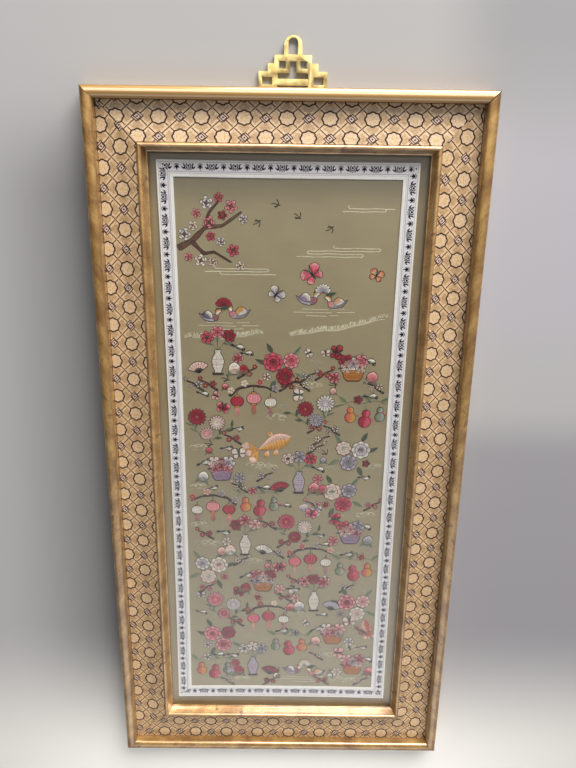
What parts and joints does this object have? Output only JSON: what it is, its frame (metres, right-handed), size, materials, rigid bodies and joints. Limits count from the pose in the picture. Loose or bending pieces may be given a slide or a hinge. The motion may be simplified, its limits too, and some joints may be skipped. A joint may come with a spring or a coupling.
{
  "type": "silk embroidery panel in gilt and brocade frame",
  "caption": "Tall embroidered silk panel with a woven ribbon border, glazed in a gilt frame with a brocade-covered flat and a pierced brass hanger.",
  "frame": {"origin": "back plane of the frame, in the middle of the overall width and of the overall height with the hanger included", "axes": "+X to the right of the picture, +Y to its top and the hanger, +Z out of its face; the panel lies on its back"},
  "size_m": [0.45, 0.9524, 0.028],
  "materials": {
    "outer_gilt": "worn gilt over a rounded wooden moulding, satin",
    "inner_gilt": "gilt over wood, satin",
    "board_wood": "plain wood",
    "brocade": "figured silk brocade with a soft sheen",
    "ribbon": "woven silk ribbon with a dark figure",
    "mount_silk": "olive silk with a fine rib",
    "embroidered_silk": "olive silk with silk embroidery",
    "glass": "clear picture glass",
    "hardboard": "plain brown hardboard",
    "hanger_brass": "pale cast brass, dull",
    "screw_steel": "dull screw heads"
  },
  "bodies": {
    "root": {"outer_rail_bottom": "outer_gilt", "board_bottom": "board_wood", "brocade_bottom": "brocade", "inner_rail_bottom": "inner_gilt", "ribbon_bottom": "ribbon", "outer_rail_right": "outer_gilt", "board_right": "board_wood", "brocade_right": "brocade", "inner_rail_right": "inner_gilt", "ribbon_right": "ribbon", "outer_rail_top": "outer_gilt", "board_top": "board_wood", "brocade_top": "brocade", "inner_rail_top": "inner_gilt", "ribbon_top": "ribbon", "outer_rail_left": "outer_gilt", "board_left": "board_wood", "brocade_left": "brocade", "inner_rail_left": "inner_gilt", "ribbon_left": "ribbon", "backing_board": "hardboard", "silk_mount": "mount_silk", "embroidered_silk": "embroidered_silk", "glass_pane": "glass", "hanger": "hanger_brass", "hanger_screw_left": "screw_steel", "hanger_screw_right": "screw_steel"}
  },
  "joints": []
}
